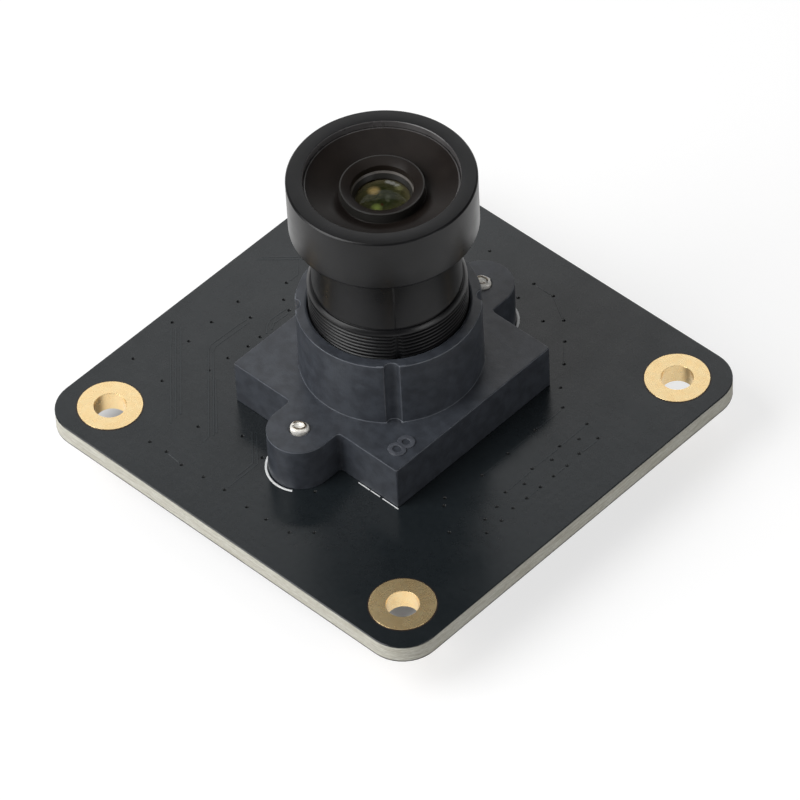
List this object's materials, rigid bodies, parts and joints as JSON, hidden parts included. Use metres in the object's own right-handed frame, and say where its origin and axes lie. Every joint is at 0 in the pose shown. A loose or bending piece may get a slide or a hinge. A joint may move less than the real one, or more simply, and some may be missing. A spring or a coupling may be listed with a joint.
{
  "type": "board camera module",
  "caption": "Square circuit board with plated corner holes, carrying a moulded lens holder and a threaded wide-angle lens that turns to focus.",
  "frame": {"origin": "centre of the four corner holes, on the board's underside", "axes": "+Z along the optical axis, out of the lens; +Y towards the edge with the USB header on the back; +X to the right of it seen from the lens side"},
  "size_m": [0.038, 0.038, 0.0287],
  "materials": {
    "board_mask": "dark grey solder mask on laminate, satin, pale bare edges",
    "gold_plating": "immersion gold, satin",
    "holder_plastic": "fine-grained black moulding",
    "barrel_plastic": "smooth black moulding, satin",
    "ring_plastic": "brown-black, satin",
    "screw_steel": "nickel-plated, bright",
    "lens_glass": "clear optical glass, olive-green coating",
    "filter_glass": "clear glass, blue-green coating",
    "sensor_ceramic": "pale ceramic, matte",
    "sensor_silicon": "polished silicon",
    "spacer_black": "black, dead matte",
    "chip_epoxy": "black moulded epoxy, matte",
    "tinned_lead": "tin-plated, satin",
    "crystal_metal": "metal lid on pale ceramic",
    "ferrite_grey": "dark grey ferrite, matte",
    "tantalum_yellow": "yellow moulding, matte",
    "capacitor_ceramic": "tan ceramic with tinned ends",
    "resistor_ceramic": "black film on white ceramic, tinned ends",
    "header_nylon": "off-white nylon, satin"
  },
  "bodies": {
    "board": {"circuit_board": "board_mask", "hole_platings": "gold_plating", "lens_holder": "holder_plastic", "holder_screws": "screw_steel", "ir_cut_filter": "filter_glass", "sensor_package": "sensor_ceramic", "sensor_die": "sensor_silicon", "sensor_cover_glass": "filter_glass", "main_processor": "chip_epoxy", "processor_leads": "tinned_lead", "flash_memory": "chip_epoxy", "flash_leads": "tinned_lead", "voltage_regulators": "chip_epoxy", "regulator_leads": "tinned_lead", "crystal": "crystal_metal", "power_inductor": "ferrite_grey", "inductor_terminals": "tinned_lead", "tantalum_capacitors": "tantalum_yellow", "ceramic_capacitors": "capacitor_ceramic", "chip_resistors": "resistor_ceramic", "usb_header": "header_nylon", "header_contacts": "tinned_lead", "header_tabs": "tinned_lead"},
    "lens_glass": {"front_element": "lens_glass", "second_element": "lens_glass", "lens_spacer": "spacer_black", "aperture_stop": "spacer_black", "third_element": "lens_glass", "rear_element": "lens_glass"},
    "lens_shell": {"lens_barrel": "barrel_plastic", "front_ring": "ring_plastic", "rear_retainer": "spacer_black"}
  },
  "joints": [
    {"name": "focus_travel", "type": "slide", "parent": "board", "child": "lens_glass", "axis": [0, 0, 1], "range_m": [-0.00035, 0.00105]},
    {"name": "focus_turn", "type": "hinge", "parent": "lens_glass", "child": "lens_shell", "pos_m": [0, 0, 0.0116], "axis": [0, 0, 1], "range_deg": [-360, 1080]}
  ],
  "couplings": [
    {"joint": "focus_turn", "follows": "focus_travel", "rad_per_m": 17952}
  ]
}
